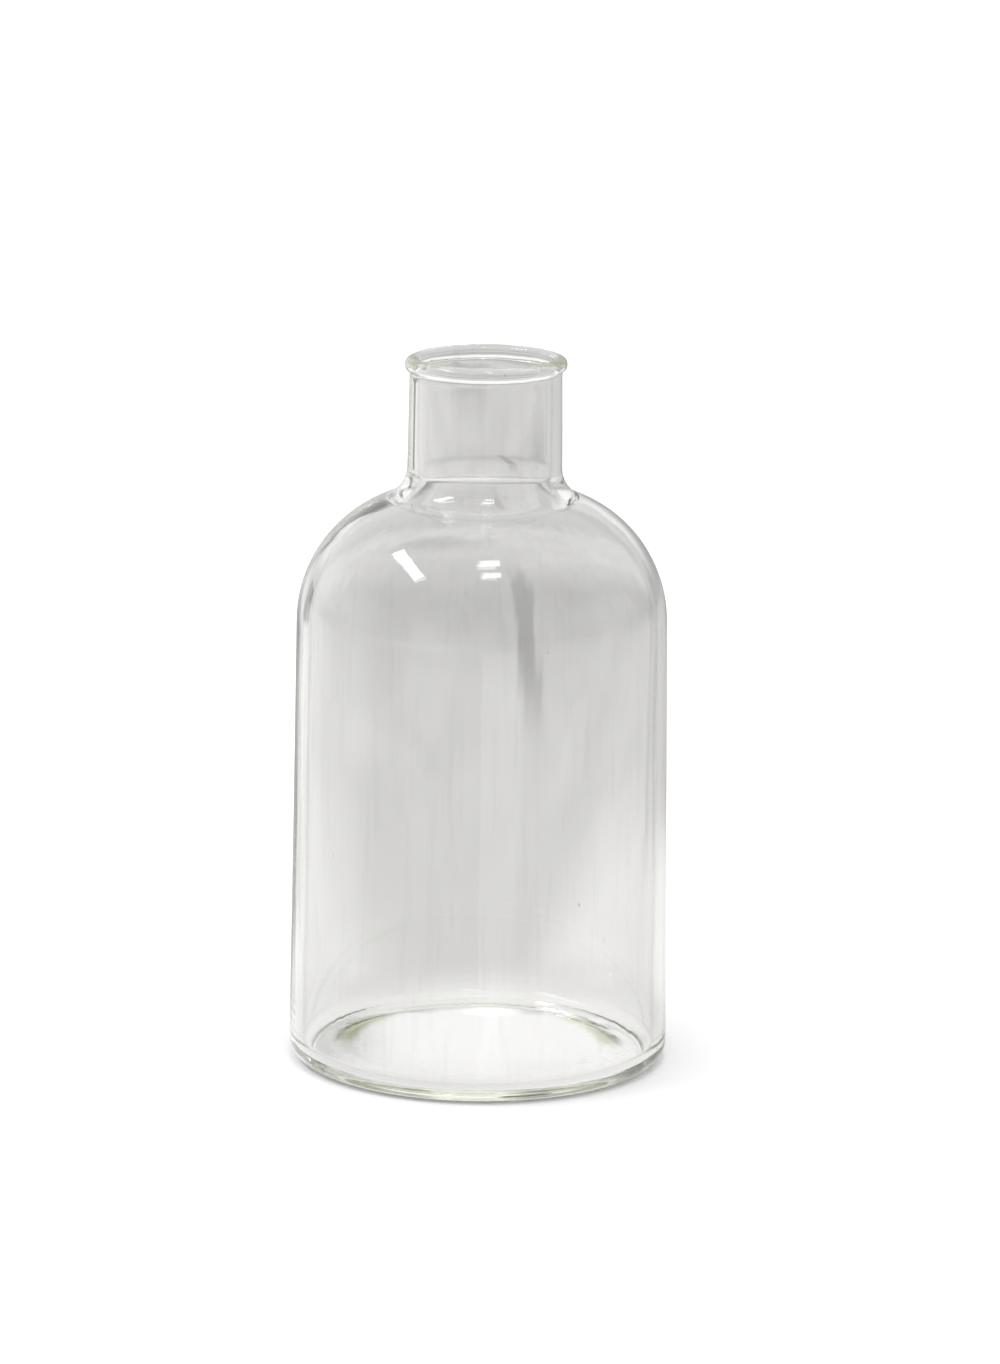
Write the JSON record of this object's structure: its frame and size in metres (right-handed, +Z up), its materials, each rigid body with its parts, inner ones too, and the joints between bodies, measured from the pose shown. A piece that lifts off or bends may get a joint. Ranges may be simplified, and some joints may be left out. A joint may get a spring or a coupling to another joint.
{
  "type": "bud vase",
  "caption": "Clear glass bottle-shaped bud vase: straight cylindrical body, domed shoulder, short wide neck with a rounded lip, and a thick flat base.",
  "frame": {"origin": "centre of the underside, on the surface that the vase stands on", "axes": "+Z up along the axis of the vase, towards the mouth; +X to the right and -Y to the front, as it is usually seen"},
  "size_m": [0.0774, 0.0774, 0.145],
  "materials": {
    "glass": "clear polished soda-lime glass with a faint green tint where it is thick"
  },
  "bodies": {
    "root": {"lip": "glass", "neck": "glass", "shoulder": "glass", "body": "glass", "heel": "glass", "base": "glass"}
  },
  "joints": []
}
